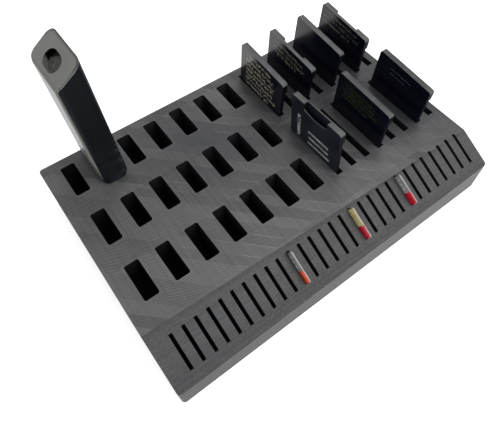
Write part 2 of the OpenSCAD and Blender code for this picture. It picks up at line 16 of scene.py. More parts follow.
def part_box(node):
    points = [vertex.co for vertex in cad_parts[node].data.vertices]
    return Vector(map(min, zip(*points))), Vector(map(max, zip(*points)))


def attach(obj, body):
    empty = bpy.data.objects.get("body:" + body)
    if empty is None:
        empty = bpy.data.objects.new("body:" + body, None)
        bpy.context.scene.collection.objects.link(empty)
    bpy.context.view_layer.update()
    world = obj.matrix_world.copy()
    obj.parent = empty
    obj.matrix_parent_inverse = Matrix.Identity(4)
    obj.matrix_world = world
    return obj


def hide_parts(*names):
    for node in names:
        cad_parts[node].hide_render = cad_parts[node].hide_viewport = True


MM = 0.001
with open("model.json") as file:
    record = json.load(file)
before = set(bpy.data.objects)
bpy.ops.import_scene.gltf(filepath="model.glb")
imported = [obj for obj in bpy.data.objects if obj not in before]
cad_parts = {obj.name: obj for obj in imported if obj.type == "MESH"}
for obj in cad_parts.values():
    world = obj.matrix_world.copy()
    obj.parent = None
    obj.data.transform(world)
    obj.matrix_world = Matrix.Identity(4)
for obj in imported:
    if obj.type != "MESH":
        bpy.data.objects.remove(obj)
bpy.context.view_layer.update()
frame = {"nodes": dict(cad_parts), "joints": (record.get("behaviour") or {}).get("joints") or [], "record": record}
scene = bpy.context.scene

# %% [markdown]
# ## The camera
# The camera stands where the photographer's did: above and in front of the tray's left end. Its place
# and turn were found by fitting the tray's corners to the picture. A small lens shift keeps the
# object's place in the frame without bending its lines.

# %% Place the camera
eye = bpy.data.cameras.new("eye")
eye.sensor_width = 36
eye.lens = 36.043
eye.shift_x = -0.03778
eye.shift_y = -0.06218
eye.clip_start = 0.005
camera = bpy.data.objects.new("camera", eye)
scene.collection.objects.link(camera)
camera.location = (-0.062168, -0.076236, 0.155182)
camera.rotation_euler = [math.radians(a) for a in (32.6423, -0.4856, -37.0092)]
scene.camera = camera
print("camera height", round(camera.location.z / MM), "mm")

# %% [markdown]
# ## Shader helpers
# A finish here is a Principled shader with a few nodes in front of it. Numbers that are the same all
# over go straight on the shader's sockets. The helpers below keep each recipe short: one makes a node
# and wires it up, one does sums on sockets, and one gives the place on the piece in millimetres.

# %% Nodes and places
def add_node(tree, kind, inputs=None, **settings):
    """Adds a node and sets it up. An input is a value, or a socket to wire it to."""
    made = tree.nodes.new("ShaderNode" + kind)
    for name, value in settings.items():
        setattr(made, name, value)
    for key, value in (inputs or {}).items():
        if isinstance(value, bpy.types.NodeSocket):
            tree.links.new(value, made.inputs[key])
        else:
            made.inputs[key].default_value = value
    return made


def calc(tree, operation, *values):
    return add_node(tree, "Math", dict(enumerate(values)), operation=operation).outputs[0]


def scaled_place(tree, vector, scale, turn=(0, 0, 0)):
    mapped = {"Vector": vector, "Rotation": turn, "Scale": scale}
    return add_node(tree, "Mapping", mapped, vector_type="POINT").outputs[0]


def place_mm(tree):
    """Place on a piece in millimetres, from its Object coordinates."""
    return scaled_place(tree, add_node(tree, "TexCoord").outputs["Object"], (1 / MM,) * 3)


def own_mm(tree):
    """Place on a leaning piece, in its own upright millimetres, which its mesh carries as own_mm."""
    return add_node(tree, "Attribute", attribute_name="own_mm").outputs["Vector"]


def parts_of(tree, vector):
    return add_node(tree, "SeparateXYZ", {0: vector}).outputs


print("node helpers ready")

# %% Finishes and colours
def new_finish(name, roughness, specular=0.5, metallic=0.0):
    made = bpy.data.materials.new(name)
    made.use_nodes = True
    shader = made.node_tree.nodes["Principled BSDF"]
    shader.inputs["Roughness"].default_value = roughness
    shader.inputs["Specular IOR Level"].default_value = specular
    shader.inputs["Metallic"].default_value = metallic
    return made, made.node_tree, shader


def srgb(*levels):
    """A colour as a picture program gives it, 0 to 255, turned into light."""
    shares = [level / 255 for level in levels]
    return (*[v / 12.92 if v <= 0.04045 else ((v + 0.055) / 1.055) ** 2.4 for v in shares], 1)


def mix_colour(tree, share, low, high):
    return add_node(tree, "Mix", {0: share, 6: low, 7: high}, data_type="RGBA").outputs[2]


def mix_value(tree, share, low, high):
    return add_node(tree, "Mix", {0: share, 2: low, 3: high}, data_type="FLOAT").outputs[0]


def raise_surface(tree, shader, height, depth_mm, strength=1.0):
    """Bump: height runs from 0 to 1, and the depth is that of the real relief."""
    relief = add_node(tree, "Bump", {"Height": height, "Distance": depth_mm * MM, "Strength": strength})
    tree.links.new(relief.outputs[0], shader.inputs["Normal"])


print("colour helpers ready")

# %% [markdown]
# ## Moulded plastic and stamped metal
# A moulded surface isn't quite smooth. Its mould was eroded by sparks, which leaves a fine grain, and
# its tone drifts a little from place to place. Two noises do that: a fine one for the bump and a wide
# one for the colour. Contacts, boards and chips hardly show, so they take the same recipe with other
# numbers.

# %% Finishes of the moulded and stamped pieces
GRAIN, DRIFT = 1 / 0.35, 0.12  # waves to a millimetre, of the grain and of the tone


def moulded(name, colour, roughness, depth_mm=0.006, change=0.12, specular=0.5, metallic=0.0):
    """A fine grain of some depth, and a tone that changes by a share of the colour."""
    made, tree, shader = new_finish(name, roughness, specular, metallic)
    spot = place_mm(tree)
    fine = {"Vector": spot, "Scale": GRAIN, "Detail": 2.0, "Roughness": 0.6}
    grain = add_node(tree, "TexNoise", fine).outputs[0]
    wide = add_node(tree, "TexNoise", {"Vector": spot, "Scale": DRIFT, "Detail": 3.0}).outputs[0]
    dark = tuple(c * (1 - change) for c in colour[:3]) + (1,)
    light = tuple(min(1, c * (1 + change)) for c in colour[:3]) + (1,)
    tree.links.new(mix_colour(tree, wide, dark, light), shader.inputs["Base Color"])
    raise_surface(tree, shader, grain, depth_mm)
    return made


FINISH = {
    "card_shell": moulded("card_shell_plastic", srgb(11, 14, 31), 0.2, depth_mm=0.002, specular=0.36),
    "adapter_shell": moulded("adapter_shell_plastic", srgb(32, 36, 48), 0.28, depth_mm=0.003, specular=0.35),
    "lock_plastic": moulded("lock_tab_plastic", srgb(30, 31, 36), 0.5),
    "label_film": moulded("label_film", srgb(40, 44, 54), 0.3, change=0.05),
    "plug_steel": moulded("plug_steel", srgb(190, 190, 192), 0.28, depth_mm=0.002, metallic=1.0),
    "gold_contact": moulded("gold_contact", srgb(212, 175, 90), 0.22, depth_mm=0.001, metallic=1.0),
    "board_laminate": moulded("board_laminate", srgb(24, 84, 46), 0.35),
    "chip_resin": moulded("chip_resin", srgb(30, 30, 31), 0.6),
    "plug_insulator": moulded("plug_insulator", srgb(24, 24, 25), 0.6),
}
print(len(FINISH), "finishes")

# %% [markdown]
# ## Printed plastic
# The tray came out of a printer as a stack of 0.2 mm layers, and each of its faces shows them in
# another way. The patterns could be painted, but then they would blur close by. Here they are worked
# out from the place on the tray, in millimetres, so they stay sharp and need no picture.

# %% Where things are on the tray, in millimetres
TRAY_X, TRAY_Y, TRAY_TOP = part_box("tray")[1] / MM  # half the width, half the depth, and the height
SOCKET = dict(first=(-56.34, 33.30), pitch=(10.55, 22.25), half=(2.5, 6.65))
SLOT = dict(first=(16.31, 27.05), pitch=(6.34, 32.0), half=(1.25, 12.9))
BANK_FRONT, BANK_SPLIT = -17.85, 12.26  # where the pockets end, and where sockets give way to slots
CREASE_Y, CREASE_TURN = -28.1, math.radians(-1.95)  # where the flat top ends, and that crease's turn
FALL = 7.6  # how far the slope comes down at the tray's middle
SLOPE = math.atan(FALL / (TRAY_Y + CREASE_Y))
LINE, LAYER = 0.45, 0.2  # width of a printed line, and height of a layer
print("pockets every", SOCKET["pitch"][0], "and", SLOT["pitch"][0], "mm")

# %% Patterns by place
def noise(tree, spot, size_mm, detail=2.0, stretch=(1, 1, 1), turn=(0, 0, 0)):
    """Cloudy noise from 0 to 1. A stretch below 1 draws its spots out along that axis."""
    seat = scaled_place(tree, spot, tuple(s / size_mm for s in stretch), turn)
    return add_node(tree, "TexNoise", {"Vector": seat, "Scale": 1.0, "Detail": detail}).outputs[0]


def between(tree, value, low, high):
    """0 at low, 1 at high and a ramp between them, level beyond. Low may be the greater of the two."""
    return add_node(tree, "MapRange", {"Value": value, "From Min": low, "From Max": high}).outputs[0]


def ripple(tree, value, period):
    """A wave from 0 to 1 that repeats each period."""
    wave = calc(tree, "SINE", calc(tree, "MULTIPLY", value, 2 * math.pi / period))
    return calc(tree, "MULTIPLY_ADD", wave, 0.5, 0.5)


def weigh(tree, start, *terms):
    """A start value, and to it each term's value times its weight."""
    for value, weight in terms:
        start = calc(tree, "ADD", start, calc(tree, "MULTIPLY", value, weight))
    return start


def grey_levels(tree, shader, level, dark, light):
    """Colour between two greys of one hue."""
    tree.links.new(mix_colour(tree, level, srgb(*dark), srgb(*light)), shader.inputs["Base Color"])


print("pattern helpers ready")

# %% [markdown]
# ## The tray's flat top
# The top shows the last layer: lines 0.45 mm apart that run slantwise, with three rings of line round
# every socket, four round every card slot, and as many along the rim. The printer fills the area
# between two pockets at another time than its neighbour, which leaves patches of slightly different
# sheen with pale scars between them. The pockets repeat at even steps, so PINGPONG gives the distance
# to the nearest one.

# %% Distances on the flat top
def pocket_distance(tree, x, y, bank):
    """Distance outside the nearest pocket of a bank; below 0 inside it."""
    away = []
    for value, first, pitch, half in zip((x, y), bank["first"], bank["pitch"], bank["half"]):
        from_middle = calc(tree, "PINGPONG", calc(tree, "SUBTRACT", value, first), pitch / 2)
        away.append(calc(tree, "SUBTRACT", from_middle, half))
    return calc(tree, "MAXIMUM", *away)


def top_distances(tree, x, y):
    """Whether a place is among the slots, its distance to a slot, and that to any pocket, rim or crease."""
    right = calc(tree, "GREATER_THAN", x, BANK_SPLIT)
    slots = pocket_distance(tree, x, y, SLOT)
    pockets = mix_value(tree, right, pocket_distance(tree, x, y, SOCKET), slots)
    # The banks would repeat for ever, so in front of them their distance is made large
    pockets = weigh(tree, pockets, (calc(tree, "LESS_THAN", y, BANK_FRONT - 1.6), 50))
    rim_x = calc(tree, "SUBTRACT", TRAY_X, calc(tree, "ABSOLUTE", x))
    rim_y = calc(tree, "SUBTRACT", TRAY_Y, y)
    crease = weigh(tree, calc(tree, "SUBTRACT", y, CREASE_Y), (x, -math.tan(CREASE_TURN)))
    rim = calc(tree, "MINIMUM", calc(tree, "MINIMUM", rim_x, rim_y), crease)
    return right, slots, calc(tree, "MINIMUM", pockets, rim)


print("banks meet at x =", BANK_SPLIT, "mm")

# %% Lines, patches and scars
PATCH_OFFSET, PATCH_SPLIT = 32.19, 0.474  # these let the patches start at the pockets' corners


def last_layer_lines(tree, spot, x, y, right, away):
    """Rings of line near a pocket or rim, and slightly wavering slanting lines elsewhere."""
    ring = calc(tree, "LESS_THAN", away, calc(tree, "MULTIPLY_ADD", right, LINE, 3 * LINE))
    slant = calc(tree, "MULTIPLY", calc(tree, "ADD", x, y), math.sqrt(0.5))
    wavering = weigh(tree, slant, (noise(tree, spot, 6), 0.7))
    return ripple(tree, mix_value(tree, ring, wavering, away), LINE)


def patches_and_scars(tree, spot, x, y, away):
    """A tone for each slanting patch, two to a pitch and another set in each row, and the scars between."""
    pitch_x, pitch_y = SOCKET["pitch"]
    from_back = calc(tree, "SUBTRACT", SOCKET["first"][1] + SOCKET["half"][1], y)
    row = calc(tree, "FLOOR", calc(tree, "DIVIDE", from_back, pitch_y))
    offset = calc(tree, "MULTIPLY_ADD", row, pitch_y, PATCH_OFFSET)
    strip = calc(tree, "DIVIDE", calc(tree, "ADD", calc(tree, "ADD", x, y), offset), pitch_x)
    part = calc(tree, "FRACT", strip)
    second = calc(tree, "GREATER_THAN", part, PATCH_SPLIT)
    number = weigh(tree, second, (calc(tree, "FLOOR", strip), 2))
    seed = add_node(tree, "CombineXYZ", {0: number, 1: row}).outputs[0]
    patch = add_node(tree, "TexWhiteNoise", {"Vector": seed}, noise_dimensions="2D").outputs[0]
    to_split = calc(tree, "ABSOLUTE", calc(tree, "SUBTRACT", part, PATCH_SPLIT))
    edge = calc(tree, "MINIMUM", calc(tree, "PINGPONG", part, 0.5), to_split)
    broken = between(tree, noise(tree, spot, 14, 3.0), 0.5, 0.64)
    scar = calc(tree, "MULTIPLY", calc(tree, "LESS_THAN", edge, 0.02), broken)
    return patch, calc(tree, "MULTIPLY", scar, calc(tree, "GREATER_THAN", away, 0.3))


print("two patches every", SOCKET["pitch"][0], "mm")

# %% The finish of the flat top
PAINTED_SHADE_SPOT = (-8, 22)  # the painted shade on the top is deepest here, in millimetres


def printed_top():
    made, tree, shader = new_finish("printed_flat_top", roughness=0.5, specular=0.4)
    spot = place_mm(tree)
    x, y, _ = parts_of(tree, spot)
    right, slots, away = top_distances(tree, x, y)
    lines = last_layer_lines(tree, spot, x, y, right, away)
    patch, scar = patches_and_scars(tree, spot, x, y, away)
    streaks = noise(tree, spot, 1.0, 3.0, stretch=(2.0, 0.07, 1), turn=(0, 0, math.radians(-45)))
    # The lines stand out most towards the left, and there in loose clouds
    clouds = between(tree, noise(tree, spot, 11, 3.0), 0.42, 0.62)
    bold = calc(tree, "MULTIPLY_ADD", calc(tree, "MULTIPLY", between(tree, x, 5, -45), clouds), 0.8, 0.24)
    # Painted light and shade change the tone over the top: painted shade among the cards and round a spot, painted
    # light that rises towards the front right, and darker at the right end
    shade_among_cards = calc(tree, "MULTIPLY", between(tree, x, 10, 15), between(tree, slots, 4.0, 1.9))
    shade_among_cards = calc(tree, "MULTIPLY", shade_among_cards, between(tree, y, BANK_FRONT - 5, BANK_FRONT + 3))
    light_to_front_right = between(tree, calc(tree, "SUBTRACT", x, y), -105, 55)
    away_x, away_y = calc(tree, "SUBTRACT", x, PAINTED_SHADE_SPOT[0]), calc(tree, "SUBTRACT", y, PAINTED_SHADE_SPOT[1])
    from_spot = calc(tree, "ADD", calc(tree, "ABSOLUTE", away_x), calc(tree, "ABSOLUTE", away_y))
    painted_shade_spot = between(tree, from_spot, 48, 6)
    drift = noise(tree, spot, 26, 3.0)
    right_end, left_rim = between(tree, x, 24, 60), between(tree, x, -58, -65)
    level = weigh(tree, -0.22, (patch, 0.26), (light_to_front_right, 0.26), (painted_shade_spot, -0.32), (streaks, 0.42),
                  (drift, 0.3), (calc(tree, "SUBTRACT", lines, 0.5), bold), (scar, 0.42),
                  (shade_among_cards, -0.38), (right_end, -0.4), (left_rim, 0.1))
    grey_levels(tree, shader, level, (50, 51, 54), (121, 121, 120))
    raise_surface(tree, shader, weigh(tree, lines, (streaks, 0.6)), depth_mm=0.04)
    return made


TOP_FINISH = printed_top()
print("made", TOP_FINISH.name)

# %% [markdown]
# ## The tray's sloped front
# A printer can't make a slope. Each layer ends 0.4 mm further back than the one below, so the slope is
# a stair of treads, rough at their ends. The solid keeps its plain slope, and the height alone tells
# which layer a place belongs to and how far up its step it is.

# %% The finish of the slope
CRUMB = 0.5  # width of one rough spot on a tread's end, in millimetres


def chance(tree, number):
    """A value from 0 to 1 for each whole number, such as a tone for each layer."""
    return add_node(tree, "TexWhiteNoise", {"W": number}, noise_dimensions="1D").outputs[0]


def printed_slope():
    made, tree, shader = new_finish("printed_slope", roughness=0.55, specular=0.35)
    spot = place_mm(tree)
    x, _, z = parts_of(tree, spot)
    storey = calc(tree, "DIVIDE", z, LAYER)
    step, number = calc(tree, "FRACT", storey), calc(tree, "FLOOR", storey)
    column = calc(tree, "FLOOR", calc(tree, "DIVIDE", x, CRUMB))
    seed = add_node(tree, "CombineXYZ", {0: column, 1: number}).outputs[0]
    crumb = add_node(tree, "TexWhiteNoise", {"Vector": seed}, noise_dimensions="2D").outputs[0]
    down = calc(tree, "SUBTRACT", TRAY_TOP, z)
    left, bolder = between(tree, x, 20, -45), calc(tree, "MULTIPLY_ADD", step, 1.1, -0.58)
    drift, layer = noise(tree, spot, 18, 3.0), chance(tree, number)
    below_crease, above_front = between(tree, down, 1.0, 0.3), between(tree, down, 5.6, 6.4)
    # The step's share of the tone is painted shade up each tread, stronger towards the left
    level = weigh(tree, -0.02, (step, 0.3), (left, bolder), (drift, 0.35), (crumb, 0.34), (layer, 0.2),
                  (below_crease, -0.2), (above_front, -0.12))
    grey_levels(tree, shader, level, (46, 47, 50), (96, 96, 96))
    raise_surface(tree, shader, step, depth_mm=0.12, strength=0.8)
    return made


SLOPE_FINISH = printed_slope()
print("made", SLOPE_FINISH.name)

# %% [markdown]
# ## The tray's walls and pockets
# On upright walls the layers lie one on another as fine level lines, a painted highlight lightens the front's top
# edge, and painted shade darkens the walls towards the left. Inside the pockets the same plastic is dulled by
# rough inner lines and gets little light, so painted shade makes its tone fall with the depth and towards the
# left. The mouths' edges are painted lighter as a highlight, with a brighter speck here and there.

# %% The finish of the upright walls
def printed_wall():
    made, tree, shader = new_finish("printed_wall", roughness=0.5, specular=0.4)
    spot = place_mm(tree)
    x, y, z = parts_of(tree, spot)
    layer = chance(tree, calc(tree, "FLOOR", calc(tree, "DIVIDE", z, LAYER)))
    smear = noise(tree, spot, 3.0, 3.0, stretch=(0.12, 0.12, 2.5))
    front_top = calc(tree, "MULTIPLY_ADD", x, -math.tan(CREASE_TURN) * math.tan(SLOPE), TRAY_TOP - FALL)
    # A painted highlight along the front's top edge
    near_top = between(tree, calc(tree, "SUBTRACT", front_top, z), 0.7, 0.1)
    paler_part = calc(tree, "MULTIPLY", calc(tree, "LESS_THAN", y, -TRAY_Y + 0.3), near_top)
    # to_left is painted shade, darker towards the left; the wall is also darker near its foot
    to_left, foot = between(tree, x, 50, -20), between(tree, z, 2.6, 0.4)
    level = weigh(tree, 0, (layer, 0.35), (smear, 0.6), (paler_part, 0.4), (to_left, -0.34), (foot, -0.4))
    grey_levels(tree, shader, level, (46, 47, 49), (90, 91, 92))
    raise_surface(tree, shader, ripple(tree, z, LAYER), depth_mm=0.03)
    return made


WALL_FINISH = printed_wall()
print("made", WALL_FINISH.name)

# %% The finishes of the pockets and their rims
LIT_DEPTH = 9  # how far light reaches down a pocket, in millimetres


def printed_pocket():
    made, tree, shader = new_finish("printed_pocket", roughness=0.85, specular=0.1)
    spot = place_mm(tree)
    x, _, z = parts_of(tree, spot)
    smear = noise(tree, spot, 2.0, 3.0, stretch=(0.2, 0.2, 2.5))
    # Painted shade: the tone falls with the depth and towards the left
    level = weigh(tree, 0, (between(tree, z, TRAY_TOP - LIT_DEPTH, TRAY_TOP), 0.7), (smear, 0.3))
    level = calc(tree, "MULTIPLY", level, between(tree, x, -75, 10))
    grey_levels(tree, shader, level, (8, 8, 10), (50, 51, 54))
    raise_surface(tree, shader, ripple(tree, z, LAYER), depth_mm=0.03)
    return made


def printed_rim():
    made, tree, shader = new_finish("printed_rim", roughness=0.45, specular=0.45)
    spot = place_mm(tree)
    pale_speck = between(tree, noise(tree, spot, 0.9), 0.6, 0.68)
    # The rim's pale greys are a painted highlight on the mouths' edges
    level = weigh(tree, 0, (noise(tree, spot, 7), 0.5), (pale_speck, 0.6))
    grey_levels(tree, shader, level, (98, 98, 98), (176, 176, 173))
    raise_surface(tree, shader, pale_speck, depth_mm=0.03)
    return made


TRAY_FINISHES = [WALL_FINISH, TOP_FINISH, SLOPE_FINISH, printed_pocket(), printed_rim()]
FINISH["tray_plastic"] = WALL_FINISH
print("tray finishes:", [finish.name for finish in TRAY_FINISHES])

# %% [markdown]
# ## Finer copies of the solids
# A real edge is never sharp. Each solid that shows is copied, its loose triangles are joined, flat
# neighbours are joined into one face, and the chosen edges get a small rounded bevel that catches the
# light. A bevel modifier would take every edge of one angle alike, so the edges are picked in the mesh.

# %% Copy a solid and soften its edges
WELD = 0.002 * MM  # corners closer than this are one corner
FLAT = math.radians(0.6)  # faces turned less than this are one face
SHARP = math.radians(25)  # edges turned more than this may be softened


def soften(shape, edge_mm, chosen):
    edges = [e for e in shape.edges if len(e.link_faces) == 2 and e.calc_face_angle() > SHARP and chosen(e)]
    bmesh.ops.bevel(shape, geom=edges, offset=edge_mm * MM, offset_type="OFFSET", segments=2, profile=0.5,
                    affect="EDGES", clamp_overlap=True, material=-1)
    shape.normal_update()


def finer_copy(node, name, rounds, own=Matrix.Identity(4), zone=None):
    """A copy of a solid with softened edges. Each round is a bevel: its size and the edges it takes.
    The zone of a face, in the piece's own axes, picks its finish."""
    mesh = frame["nodes"][node].data.copy()
    mesh.name = name
    mesh.materials.clear()
    piece = bpy.data.objects.new(name, mesh)
    scene.collection.objects.link(piece)
    shape = bmesh.new()
    shape.from_mesh(mesh)
    bmesh.ops.transform(shape, matrix=own.inverted(), verts=shape.verts)
    bmesh.ops.remove_doubles(shape, verts=shape.verts, dist=WELD)
    bmesh.ops.dissolve_limit(shape, angle_limit=FLAT, verts=shape.verts, edges=shape.edges)
    for edge_mm, chosen in rounds:
        soften(shape, edge_mm, chosen)
    for face in shape.faces:
        face.material_index = zone(face) if zone else 0
    kept = shape.verts.layers.float_vector.new("own_mm")
    for vert in shape.verts:
        vert[kept] = vert.co / MM
    bmesh.ops.transform(shape, matrix=own, verts=shape.verts)
    shape.to_mesh(mesh)
    shape.free()
    mesh.update()
    return piece


print("copy helper ready")

# %% Put a copy in its solid's place
def stand_for(piece, node, body, finishes):
    """Gives a copy its finishes and lets it ride in its solid's place."""
    for finish in finishes:
        piece.data.materials.append(finish)
    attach(piece, body)
    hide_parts(node)


def shade_soft(piece):
    """Smooth shading on rounded parts, which keeps edges of more than 30 degrees crisp."""
    for face in piece.data.polygons:
        face.use_smooth = True
    piece.data.set_sharp_from_angle(angle=math.radians(30))


print("riding helpers ready")

# %% [markdown]
# ## The tray
# The tray is one piece with five finishes. Each face picks its own by the way it faces and where it
# lies. Its outer edges and the pockets' mouths are softened first. That bevel turns out far smaller
# than it asks, because clamp_overlap fits all its edges to the tightest place among them. Then come
# the upright corners of the stick sockets, which a printer rounds because its line can't turn a sharp
# corner.

# %% Edges of the tray, in millimetres
END_X = 64  # the outer walls of the two ends lie beyond this
HIDDEN_Z = 5.5  # an edge that reaches lower is hidden in a pocket
SOCKETS_X, SOCKETS_Y = (-60, BANK_SPLIT), (BANK_FRONT - 1, 42.5)


def mouth_edge(edge):
    """Edges above the hidden ones, edges that rise from the foot, and all edges of the two ends."""
    ends = [v.co / MM for v in edge.verts]
    low, high = min(c.z for c in ends), max(c.z for c in ends)
    return low > HIDDEN_Z or (low < 0.2 and high > 1) or max(abs(c.x) for c in ends) > END_X


def socket_corner(edge):
    """The upright corners of the stick sockets, and the short slanting edges at their mouths."""
    a, b = [v.co / MM for v in edge.verts]
    if not (SOCKETS_X[0] < a.x < SOCKETS_X[1] and SOCKETS_Y[0] < a.y < SOCKETS_Y[1]):
        return False
    upright = abs(a.z - b.z) > 10
    at_mouth = min(a.z, b.z) > TRAY_TOP - 0.2 and edge.calc_length() < 0.2 * MM
    return upright or (at_mouth and min(abs(a.x - b.x), abs(a.y - b.y)) > 0.01)


print("top of the tray at", round(TRAY_TOP, 2), "mm")

# %% Dress the tray
INNER_Y = (-43.3, 43)  # the walls of the pockets lie between these
LEVEL, SLOPING = 0.995, (0.85, 0.95)  # how much of a face's direction is up
SLOPE_AREA = 100 * MM * MM  # the slope is larger than this
FLOORS_Z = TRAY_TOP - 9  # the pockets' floors lie lower than this


def tray_zone(face):
    """0 wall, 1 flat top, 2 slope, 3 inside of a pocket, 4 a pocket's rim."""
    up, middle = face.normal.z, face.calc_center_median() / MM
    if up > LEVEL and middle.z > TRAY_TOP - 0.01:
        return 1
    if SLOPING[0] < up < SLOPING[1] and face.calc_area() > SLOPE_AREA:
        return 2
    inside = abs(middle.x) < END_X and INNER_Y[0] < middle.y < INNER_Y[1] and middle.z > 0.5
    if inside and 0.3 < up < LEVEL and middle.z > TRAY_TOP - 0.2:
        return 4
    return 3 if inside and (up < 0.3 or middle.z < FLOORS_Z) else 0


tray = finer_copy("tray", "printed_tray", [(0.15, mouth_edge), (0.5, socket_corner)], zone=tray_zone)
stand_for(tray, "tray", "tray", TRAY_FINISHES)
print("zones:", [sum(f.material_index == k for f in tray.data.polygons) for k in range(len(TRAY_FINISHES))])

# %% [markdown]
# ## Pieces that lean
# Each card and the stick lean a little in their pockets. Edges, zones and patterns are easier to name
# upright, so a copy is turned into its own axes, worked on there, and turned back. The turn comes from
# the joint along which the piece lifts out, so it can't differ from the frame's.

# %% The axes of a leaning piece
def own_axes(joint_name, nodes):
    """Turned axes of a card or stick: its pull joint's way is up, and its middle foot is the origin."""
    up = Vector(next(j["axis"] for j in frame["joints"] if j["name"] == joint_name)).normalized()
    tilt, lean = math.atan2(-up.y, up.z), math.asin(up.x)
    turn = Matrix.Rotation(tilt, 3, "X") @ Matrix.Rotation(lean, 3, "Y")
    points = [turn.transposed() @ v.co for node in nodes for v in frame["nodes"][node].data.vertices]
    low = Vector([min(p[i] for p in points) for i in range(3)])
    high = Vector([max(p[i] for p in points) for i in range(3)])
    foot = turn @ Vector(((low.x + high.x) / 2, (low.y + high.y) / 2, low.z))
    return Matrix.Translation(foot) @ turn.to_4x4()


stick_axes = own_axes("stick_pull", ["stick_housing", "stick_face_plate"])
print("the stick leans", [round(math.degrees(angle), 2) for angle in stick_axes.to_euler()[:2]], "degrees")

# %% [markdown]
# ## The memory stick
# A dark housing with a thin grey plate drawn over its left side and its slanted end. The plate's cut edge shows as
# a bright line between two dark ones, its high edge rolls over under a band of painted shade, and the recess in
# the end has a wall painted black as shade under its high side and a rough floor with a painted shadow. Each of
# these is a zone of faces, told apart by the way they face and by how deep they lie below the slanted end, or a
# band in the sheet's own finish.

# %% Find the slanted end
END_Z = 40 * MM  # the slanted end lies higher than this

measured = bmesh.new()
measured.from_mesh(frame["nodes"]["stick_face_plate"].data)
bmesh.ops.transform(measured, matrix=stick_axes.inverted(), verts=measured.verts)
bmesh.ops.dissolve_limit(measured, angle_limit=FLAT, verts=measured.verts, edges=measured.edges)
slanting = [f for f in measured.faces if 0.5 < f.normal.z < 0.98 and f.calc_center_median().z > END_Z]
lid = max(slanting, key=lambda f: f.calc_area())
slant_up, slant_spot = lid.normal.copy(), lid.verts[0].co.copy()
measured.free()
print("slanted end rises", round(math.degrees(math.acos(slant_up.z)), 1), "degrees")

# %% The finish of the drawn sheet
PLATE_HALF = (4.65, 9.35)  # half the plate's width and depth, in millimetres
PLATE_CORNER = 2.7  # the radius of its upright corners


def plate_sheet_finish():
    """Thin painted sheet: painted shade darkens it where it rolls over its high edge and towards its foot, where
    it is also rougher.
    """
    made, tree, shader = new_finish("stick_grey_plate", roughness=0.34)
    spot = own_mm(tree)
    x, y, z = parts_of(tree, spot)
    grain = noise(tree, spot, 0.5)
    # Distance in from the rounded outline, seen from above
    corner = [calc(tree, "MAXIMUM", calc(tree, "SUBTRACT", calc(tree, "ABSOLUTE", value), half), 0)
              for value, half in ((x, PLATE_HALF[0] - PLATE_CORNER), (y, PLATE_HALF[1] - PLATE_CORNER))]
    reach = calc(tree, "SQRT", calc(tree, "ADD", *[calc(tree, "MULTIPLY", c, c) for c in corner]))
    inward = calc(tree, "SUBTRACT", PLATE_CORNER, reach)
    # Painted shade: a band of dark reflection where the sheet rolls over its high edge
    painted_shade_at_roll = calc(tree, "MULTIPLY", between(tree, inward, 0.85, 0.35), between(tree, x, 0.6, 2.4))
    level = calc(tree, "MULTIPLY_ADD", noise(tree, spot, 6, 3.0), 0.2, 0.23)
    level = weigh(tree, level, (grain, 0.06), (painted_shade_at_roll, -0.3))
    # Painted shade towards the foot, where the pale reflection fades; the roughness rises there too
    away_from_foot = between(tree, z, 3, 10)
    level = calc(tree, "MULTIPLY", level, calc(tree, "MULTIPLY_ADD", away_from_foot, 0.8, 0.2))
    tree.links.new(calc(tree, "MULTIPLY_ADD", away_from_foot, -0.46, 0.8), shader.inputs["Roughness"])
    grey_levels(tree, shader, level, (30, 30, 30), (180, 181, 176))
    raise_surface(tree, shader, grain, depth_mm=0.003)
    return made


SHEET_FINISH = plate_sheet_finish()
print("made", SHEET_FINISH.name)

# %% The finishes of the recess
def recess_wall_finish():
    """The recess's wall: painted black as shade under its high side, and plain on its low side."""
    made, tree, shader = new_finish("recess_wall", roughness=0.7, specular=0.05)
    spot = own_mm(tree)
    x = parts_of(tree, spot)[0]
    grit = noise(tree, spot, 0.5, 3.0)
    low_side = between(tree, x, -0.8, -1.5)
    level = calc(tree, "MULTIPLY", low_side, calc(tree, "MULTIPLY_ADD", grit, 0.5, 0.6))
    grey_levels(tree, shader, level, (3, 3, 3), (98, 98, 94))
    raise_surface(tree, shader, grit, depth_mm=0.02)
    return made


def recess_floor_finish():
    """Rough moulded floor with grit in it, with a painted shadow under the recess's high side."""
    made, tree, shader = new_finish("recess_floor", roughness=0.6, specular=0.3)
    spot = own_mm(tree)
    x, y, _ = parts_of(tree, spot)
    grit = noise(tree, spot, 0.5, 3.0)
    level = weigh(tree, 0, (between(tree, grit, 0.35, 0.7), 0.7), (noise(tree, spot, 4), 0.3))
    level = calc(tree, "MULTIPLY_ADD", level, 0.86, 0.16)
    painted_shadow = between(tree, weigh(tree, 0, (x, 0.7), (y, 0.5)), 1.8, 2.3)
    level = calc(tree, "SUBTRACT", level, calc(tree, "MAXIMUM", painted_shadow, between(tree, x, 2.0, 2.5)))
    grey_levels(tree, shader, level, (4, 4, 4), (112, 112, 109))
    raise_surface(tree, shader, grit, depth_mm=0.03)
    return made


RECESS_FINISHES = [recess_wall_finish(), recess_floor_finish()]
print("made", [finish.name for finish in RECESS_FINISHES])

# %% The finishes of the cut edge and the housing
def inside_of(tree, value, low, high):
    """1 between low and high, and 0 elsewhere."""
    above, below = calc(tree, "GREATER_THAN", value, low), calc(tree, "LESS_THAN", value, high)
    return calc(tree, "MULTIPLY", above, below)


